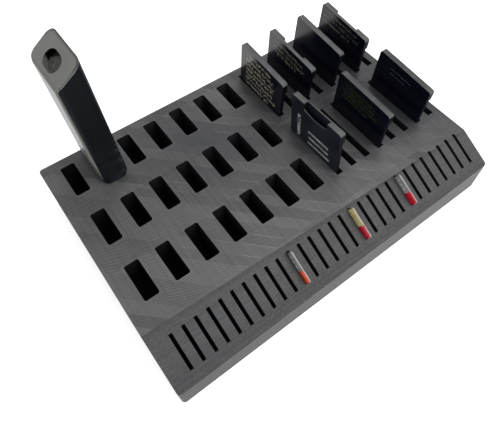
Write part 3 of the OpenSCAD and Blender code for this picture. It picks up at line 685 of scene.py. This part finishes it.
def cut_edge_finish():
    """The sheet's cut edge: a bright line between two dark ones, by the depth below the slanted end."""
    made, tree, shader = new_finish("plate_cut_edge", roughness=0.4, specular=0.2)
    spot = own_mm(tree)
    x = parts_of(tree, spot)[0]
    along_up = add_node(tree, "VectorMath", {0: spot, 1: tuple(slant_up)}, operation="DOT_PRODUCT")
    down = calc(tree, "SUBTRACT", slant_spot.dot(slant_up) / MM, along_up.outputs["Value"])
    bright = calc(tree, "MULTIPLY", inside_of(tree, down, 0.2, 0.42), between(tree, x, 4.2, 2.6))
    level = calc(tree, "MULTIPLY_ADD", bright, 0.8, calc(tree, "MULTIPLY", noise(tree, spot, 1.5), 0.1))
    grey_levels(tree, shader, level, (24, 26, 28), (158, 166, 160))
    raise_surface(tree, shader, bright, depth_mm=0.01)
    return made


def stick_housing_finish():
    """Smooth dark plastic, greyer in clouds towards its foot, with pale specks at its right front corner."""
    made, tree, shader = new_finish("stick_dark_plastic", roughness=0.42, specular=0.06)
    spot = own_mm(tree)
    x, y, z = parts_of(tree, spot)
    grain = noise(tree, spot, 0.4)
    clouds = between(tree, noise(tree, spot, 2.5, 3.0), 0.3, 0.7)
    paler_part = calc(tree, "MULTIPLY", between(tree, z, 20, 3), clouds)
    pale_speck = between(tree, noise(tree, spot, 0.8, 1.0), 0.63, 0.67)
    for place in (between(tree, z, 15, 12), between(tree, x, 2.6, 3.2), between(tree, y, -6.4, -7.4)):
        pale_speck = calc(tree, "MULTIPLY", pale_speck, place)
    level = weigh(tree, 0, (grain, 0.06), (paler_part, 0.07), (pale_speck, 0.8))
    grey_levels(tree, shader, level, (10, 13, 17), (118, 122, 132))
    raise_surface(tree, shader, grain, depth_mm=0.003)
    return made


PLATE_FINISHES = [SHEET_FINISH, *RECESS_FINISHES, cut_edge_finish()]
FINISH["stick_plate"] = SHEET_FINISH
FINISH["stick_plastic"] = stick_housing_finish()
print("stick finishes:", len(PLATE_FINISHES) + 1)

# %% [markdown]
# ## Which face of the plate is which
# The plate is one solid, so its finishes can't be told apart by piece. They could be picked by hand,
# but numbers of faces change with every new solid. Instead each face is asked how deep it lies below
# the slanted end and how far it faces that end's way.

# %% Zones of the plate
RECESS_HALF = (4, 5)  # the recess and its rim lie within this of the middle, in millimetres


def below_slant(point):
    return (slant_spot - point).dot(slant_up) / MM


def middle_of(edge):
    return (edge.verts[0].co + edge.verts[1].co) / 2


def over_recess(point):
    return abs(point.x) < RECESS_HALF[0] * MM and abs(point.y) < RECESS_HALF[1] * MM


def plate_zone(face):
    """0 sheet, 1 recess wall, 2 recess floor, 3 cut edge."""
    middle, out = face.calc_center_median(), face.normal.dot(slant_up)
    deep = below_slant(middle)
    if over_recess(middle) and deep > 0.1:
        return 2 if out > 0.9 and deep > 1 else 1
    front = deep < 1.2 and middle.z > END_Z and face.normal.x > -0.6 and face.normal.y < -0.3
    return 3 if front and out < 0.9 else 0


print("slanted end's first corner at", [round(c / MM, 1) for c in slant_spot], "mm")

# %% [markdown]
# ## Soften the stick
# The sheet rolls over its high edge, which gets a wider bevel than the plate's other edges. The cut
# edge and the recess's rim stay sharp, and the housing's outer edges are as soft as the high edge.

# %% Dress the plate
END_FOOT = 37 * MM  # the slanted end's low side lies just above this
CUT_X, CUT_Y = 2.2 * MM, -8 * MM  # the cut edge runs beyond these


def high_edge(edge):
    middle = middle_of(edge)
    return abs(below_slant(middle)) < 0.05 and middle.x > 2.6 * MM and middle.y > CUT_Y


def other_edge(edge):
    """Outer edges, apart from the high one, the plate's cut edge and the recess's rim."""
    middle = middle_of(edge)
    cut = below_slant(middle) < 0.9 and (middle.x > CUT_X or middle.y < CUT_Y)
    recess = middle.z > END_FOOT and over_recess(middle)
    return not cut and not recess and (abs(middle.x) > 2.5 * MM or middle.z > END_FOOT)


plate_rounds = [(0.2, high_edge), (0.14, other_edge)]
plate = finer_copy("stick_face_plate", "stick_drawn_plate", plate_rounds, stick_axes, plate_zone)
shade_soft(plate)
stand_for(plate, "stick_face_plate", "stick", PLATE_FINISHES)
print("plate zones:", sorted({f.material_index for f in plate.data.polygons}))

# %% Dress the housing
housing = finer_copy("stick_housing", "stick_housing_moulding", [(0.2, other_edge)], stick_axes)
shade_soft(housing)
stand_for(housing, "stick_housing", "stick", [FINISH["stick_plastic"]])
print("housing:", len(housing.data.polygons), "faces")

# %% [markdown]
# ## The cards
# The side of a card that shows has short rows of plain dashes on it. They could be single pieces or a picture, but
# here a row is a strip of noise cut at a level: it stays sharp close by, and each row breaks up in its own way.
# The top edges are pale from wear and from painted light, with a painted highlight along their rims, and the
# narrow sides stay nearly black.

# %% Rows of dashes
def dash_rows(tree, along, up, span, band, pitch, height, size, fill, seed):
    """1 on a dash and 0 between them: rows at a pitch, inside a span and a band, all in millimetres."""
    storey = calc(tree, "DIVIDE", calc(tree, "SUBTRACT", up, band[0]), pitch)
    number = calc(tree, "FLOOR", storey)
    on_row = calc(tree, "LESS_THAN", calc(tree, "FRACT", storey), height)
    # Each row cuts through the noise at a place of its own
    across = calc(tree, "MULTIPLY_ADD", number, 7.3, calc(tree, "DIVIDE", up, 1.2))
    seat = add_node(tree, "CombineXYZ", {0: calc(tree, "DIVIDE", along, size), 1: across, 2: seed})
    broken = add_node(tree, "TexNoise", {"Vector": seat.outputs[0], "Scale": 1.0, "Detail": 1.0}).outputs[0]
    dash = calc(tree, "GREATER_THAN", broken, fill)
    # One end is ragged: rows start anywhere in the first 28 hundredths of the span
    late = chance(tree, calc(tree, "ADD", number, seed))
    start = calc(tree, "MULTIPLY_ADD", late, 0.28 * (span[1] - span[0]), span[0])
    started = calc(tree, "GREATER_THAN", along, start)
    area = calc(tree, "MULTIPLY", inside_of(tree, along, *span), inside_of(tree, up, *band))
    row = calc(tree, "MULTIPLY", dash, on_row)
    return calc(tree, "MULTIPLY", row, calc(tree, "MULTIPLY", area, started))


def printed_face(name, ground, ink, blocks, roughness, specular):
    """The side of a card with its rows, which may run across it or upright."""
    made, tree, shader = new_finish(name, roughness, specular)
    spot = own_mm(tree)
    _, y, z = parts_of(tree, spot)
    marks = 0.0
    for k, (way, block) in enumerate(blocks):
        along, up = (z, y) if way == "upright" else (y, z)
        rows = dash_rows(tree, along, up, seed=3.7 * k + len(name), **block)
        marks = calc(tree, "MAXIMUM", marks, rows)
    fade = between(tree, noise(tree, spot, 2.2), 0.25, 0.6)
    marks = calc(tree, "MULTIPLY", marks, calc(tree, "MULTIPLY_ADD", fade, 0.6, 0.4))
    dark, light = [srgb(*[c * share for c in ground]) for share in (0.8, 1.25)]
    tone = mix_colour(tree, noise(tree, spot, 5, 3.0), dark, light)
    tree.links.new(mix_colour(tree, marks, tone, srgb(*ink)), shader.inputs["Base Color"])
    grain = calc(tree, "MULTIPLY", noise(tree, spot, 0.35), 0.3)
    raise_surface(tree, shader, calc(tree, "MAXIMUM", grain, marks), depth_mm=0.006)
    return made


print("row helpers ready")

# %% What each card carries
# Ink, and blocks of rows: where they lie, how far apart they are, how much of the pitch a row fills, how
# long its dashes are, and the level of noise that makes a dash
CARD_ROWS = {
    "card_a": ((210, 205, 180), [
        ("across", dict(span=(-9.0, 8.8), band=(15.6, 31.2), pitch=2.25, height=0.6, size=0.62, fill=0.5))]),
    "card_b": ((168, 163, 134), [
        ("across", dict(span=(-8.8, 8.8), band=(24.2, 30.8), pitch=2.2, height=0.6, size=0.6, fill=0.5))]),
    "card_c": ((40, 41, 44), []),
    "card_d": ((128, 122, 106), [
        ("across", dict(span=(-9.2, 10.2), band=(25.2, 30.9), pitch=2.1, height=0.55, size=0.55, fill=0.5))]),
    "card_e": ((46, 64, 32), [
        ("across", dict(span=(-7.6, 8.6), band=(22.8, 30.4), pitch=1.9, height=0.72, size=0.7, fill=0.42))]),
    "card_f": ((96, 98, 106), [
        ("across", dict(span=(-4.3, 5.6), band=(26.2, 29.2), pitch=1.9, height=0.28, size=0.5, fill=0.44))]),
    "adapter": ((232, 234, 238), [
        ("across", dict(span=(-8.4, 2.8), band=(15.2, 22.2), pitch=2.6, height=0.42, size=0.5, fill=0.4)),
        ("upright", dict(span=(14.6, 25.4), band=(7.0, 8.6), pitch=1.7, height=0.9, size=0.8, fill=0.42))]),
}
print("blocks of rows:", {card: len(rows[1]) for card, rows in CARD_ROWS.items()})

# %% Edges of the cards
def worn_and_lit_edge(name, dark, light):
    """Pale worn plastic in lighter and darker stretches, with painted light that makes it palest at its front end
    and by the print.
    """
    made, tree, shader = new_finish(name, roughness=0.4, specular=0.3)
    spot = own_mm(tree)
    x, y, _ = parts_of(tree, spot)
    worn = between(tree, noise(tree, spot, 3.0, 3.0), 0.3, 0.7)
    scratch = noise(tree, spot, 0.6, stretch=(0.4, 1.6, 1))
    to_front, front_end = between(tree, y, 11, -11), between(tree, y, -8.5, -11.5)
    off_print = between(tree, x, -0.2, 0.9)
    level = weigh(tree, 0, (worn, 0.4), (scratch, 0.3), (to_front, 0.25), (front_end, 0.7), (off_print, -0.3))
    grey_levels(tree, shader, level, dark, light)
    raise_surface(tree, shader, scratch, depth_mm=0.006)
    return made


# Both are lit with painted light; the rim's paler greys are a painted highlight
CARD_EDGE = worn_and_lit_edge("card_worn_and_lit_edge", (35, 35, 37), (86, 87, 88))
CARD_RIM = worn_and_lit_edge("card_highlight_rim", (92, 92, 94), (190, 191, 192))
CARD_SIDE = moulded("card_dark_side", srgb(4, 5, 14), 0.5, specular=0.07)
print("made", [finish.name for finish in (CARD_EDGE, CARD_RIM, CARD_SIDE)])

# %% [markdown]
# ## Which face of a card is which
# A card's two shells share their five finishes. A face's direction tells the printed side from the edges, and its
# height tells the top edge from the notches. The long edges up there get the widest bevel, because hands rub them
# most, and it carries the rim's painted highlight.

# %% Zones and edges of a card
CARD_TOP = 26 * MM  # the top edge lies higher than this
FACE_X = 0.9 * MM  # the card's two faces lie further out than this


def card_zone(face):
    """0 shell, 1 the printed side, 2 top edge, 3 rim between them, 4 narrow side."""
    n, middle = face.normal, face.calc_center_median()
    if n.z > 0.3 and middle.z > CARD_TOP:
        return 3 if n.z < 0.9 and abs(n.x) > 0.3 else 2
    if n.x < -0.95 and middle.x < -FACE_X:
        return 1
    return 4 if n.y < -0.9 else 0


def top_arris(edge):
    """The long edges between a card's faces and its top edge."""
    ends = [v.co for v in edge.verts]
    return all(abs(c.x) > FACE_X and c.z > CARD_TOP for c in ends) and abs(ends[0].y - ends[1].y) > 2 * MM


def card_edges(edge):
    """The other edges: not the seam between the two shells, and no short one."""
    off_seam = all(abs(v.co.x) > 0.3 * MM for v in edge.verts)
    return off_seam and edge.calc_length() > 0.4 * MM and not top_arris(edge)


print("card tops start at", round(CARD_TOP / MM), "mm")

# %% Dress the cards and the adapter
for card, (ink, blocks) in CARD_ROWS.items():
    axes = own_axes(card + "_pull", [card + "_back_shell", card + "_front_shell"])
    adapter = card == "adapter"
    slot = "adapter_shell" if adapter else "card_shell"
    ground = (34, 37, 49) if adapter else (11, 14, 31)
    roughness = 0.3 if adapter else 0.2
    face = printed_face(card + "_printed_side", ground, ink, blocks, roughness, specular=0.36)
    side = moulded("adapter_side", srgb(17, 18, 21), 0.5, specular=0.1) if adapter else CARD_SIDE
    for half in ("back", "front"):
        node = card + "_" + half + "_shell"
        name = card + "_" + half + "_moulding"
        piece = finer_copy(node, name, [(0.22, top_arris), (0.14, card_edges)], axes, card_zone)
        stand_for(piece, node, card, [FINISH[slot], face, CARD_EDGE, CARD_RIM, side])
print(len(CARD_ROWS), "cards dressed")

# %% [markdown]
# ## The small cards
# Only 3 mm of a small card stands out of its slot. Its printed side has two colours that meet at a line
# across, and a row of short pale dashes. Each colour and the place where they meet belong to one card,
# so one recipe with a few numbers makes all three.

# %% Finish of a small card
DASH_SPAN, DASH_BAND = (-0.9, 4.2), (12.8, 14.4)
DASH_PITCH, DASH_FILL = 1.8, 0.68


def small_card_finish(name, look, dashes, strength, rim_highlight):
    """Two colours that meet along the card. Strength scales them as painted light and shade, and the far rim may
    get a painted white highlight.
    """
    made, tree, shader = new_finish(name, roughness=0.32, specular=0.2)
    spot = own_mm(tree)
    x, y, z = parts_of(tree, spot)
    back, front = [srgb(*[min(255, c * strength) for c in look[end]]) for end in ("back", "front")]
    two = mix_colour(tree, calc(tree, "LESS_THAN", y, look["meet"]), back, front)
    row = calc(tree, "MULTIPLY", inside_of(tree, y, *DASH_SPAN), inside_of(tree, z, *DASH_BAND))
    on_dash = calc(tree, "LESS_THAN", calc(tree, "FRACT", calc(tree, "DIVIDE", y, DASH_PITCH)), DASH_FILL)
    row = calc(tree, "MULTIPLY", calc(tree, "MULTIPLY", row, on_dash), dashes)
    tone = mix_colour(tree, row, two, srgb(255, 255, 255))
    rim = calc(tree, "MULTIPLY", between(tree, x, 0.16, 0.32), rim_highlight)
    tone = mix_colour(tree, rim, tone, srgb(225, 224, 220))
    dirt = calc(tree, "MULTIPLY", between(tree, noise(tree, spot, 1.2, 3.0), 0.5, 0.75), 0.35)
    tree.links.new(mix_colour(tree, dirt, tone, srgb(60, 50, 48)), shader.inputs["Base Color"])
    raise_surface(tree, shader, noise(tree, spot, 0.3), depth_mm=0.003)
    return made


SMALL_CARDS = {
    "micro_a": dict(back=(106, 107, 109), front=(222, 60, 26), meet=-1.2, dashes=0.9),
    "micro_b": dict(back=(186, 168, 112), front=(196, 22, 48), meet=-0.9, dashes=0.15),
    "micro_c": dict(back=(128, 127, 128), front=(205, 24, 44), meet=-1.0, dashes=0.9),
}
FINISH["micro_shell"] = moulded("small_card_plastic", srgb(26, 26, 28), 0.4)
print("colours meet at", [look["meet"] for look in SMALL_CARDS.values()], "mm")

# %% Dress the small cards
def small_zone(face):
    """0 plastic, 1 the printed side, 2 edges that stand out."""
    if face.normal.x < -0.95:
        return 1
    return 2 if face.normal.z > 0.3 and face.calc_center_median().z > 12 * MM else 0


def longer_edge(edge):
    return edge.calc_length() > 0.5 * MM


for small, look in SMALL_CARDS.items():
    axes = own_axes(small + "_pull", [small + "_body"])
    # The printed side is painted lighter and the edge darker, to stand in for how the light falls on each; the
    # edge's rim gets a painted highlight
    print_side = small_card_finish(small + "_printed_side", look, look["dashes"], strength=1.45, rim_highlight=0.0)
    edge = small_card_finish(small + "_edge", look, 0.0, strength=0.84, rim_highlight=0.7)
    piece = finer_copy(small + "_body", small + "_moulding", [(0.07, longer_edge)], axes, small_zone)
    stand_for(piece, small + "_body", small, [FINISH["micro_shell"], print_side, edge])
print(len(SMALL_CARDS), "small cards dressed")

# %% [markdown]
# ## Finishes for the solids that stay
# Boards, chips, contacts, lock tabs and labels have the right shape already. Each keeps its solid, and
# its material slots take the finish that the record names.

# %% Dress the solids that stay
slot_of = {part["node"]: part["material_slot"] for part in frame["record"]["subparts"]}
for node, solid in frame["nodes"].items():
    solid.data.materials.clear()
    solid.data.materials.append(FINISH[slot_of[node]])
print(len(slot_of), "solids have a finish")

# %% [markdown]
# ## Floor and light
# A white studio: a pale floor that keeps a soft shadow, a white surround, and large soft lamps. The
# floor and the surround look white to the camera and in gloss, through Light Path, and give the object
# itself only a plain level of light, so its colours render as they are written.

# %% The floor
def seen_straight(tree):
    """1 where the camera looks, also by way of gloss or glass, and 0 for the light that falls on things."""
    ray = add_node(tree, "LightPath").outputs
    by_gloss = calc(tree, "MAXIMUM", ray["Is Glossy Ray"], ray["Is Transmission Ray"])
    return calc(tree, "MAXIMUM", ray["Is Camera Ray"], by_gloss)


bpy.ops.mesh.primitive_plane_add(size=3, location=(0, 0, 0))
floor = bpy.context.object
floor.name = "floor"
paper, tree, shader = new_finish("white_paper", roughness=0.9, specular=0.1)
shader.inputs["Base Color"].default_value = (0.92, 0.92, 0.92, 1)
glow = add_node(tree, "Emission", {"Strength": calc(tree, "MULTIPLY", seen_straight(tree), 0.73)})
both = add_node(tree, "AddShader", {0: shader.outputs[0], 1: glow.outputs[0]})
tree.links.new(both.outputs[0], tree.nodes["Material Output"].inputs["Surface"])
floor.data.materials.append(paper)
print("floor", round(floor.dimensions.x, 1), "m wide")

# %% The surround
SURROUND_LIGHT = 0.3  # its strength as light; it is seen at 1, which is white

world = bpy.data.worlds.new("white_surround")
scene.world = world
world.use_nodes = True
tree = world.node_tree
sky = tree.nodes["Background"]
sky.inputs["Color"].default_value = (1, 1, 1, 1)
strength = weigh(tree, SURROUND_LIGHT, (seen_straight(tree), 1 - SURROUND_LIGHT))
tree.links.new(strength, sky.inputs["Strength"])
print("surround gives light at", SURROUND_LIGHT)

# %% The lamps
def soft_lamp(name, place, aim, size, watts):
    lamp = bpy.data.lights.new(name, "AREA")
    lamp.shape = "RECTANGLE"
    lamp.size, lamp.size_y = size
    lamp.energy = watts
    holder = bpy.data.objects.new(name, lamp)
    scene.collection.objects.link(holder)
    holder.location = place
    holder.rotation_euler = (Vector(aim) - Vector(place)).to_track_quat("-Z", "Y").to_euler()


soft_lamp("front_softbox", place=(0.1, -0.26, 0.44), aim=(0, -0.02, 0), size=(0.36, 0.28), watts=1.75)
soft_lamp("back_softbox", place=(0.24, 0.24, 0.36), aim=(0.02, 0, 0.03), size=(0.22, 0.22), watts=0.46)
print("lamps:", [lamp.name for lamp in bpy.data.lights])

# %% [markdown]
# ## Finish
# Colours are shown through the Standard view transform.

# %% Finish
scene.view_settings.view_transform = "Standard"
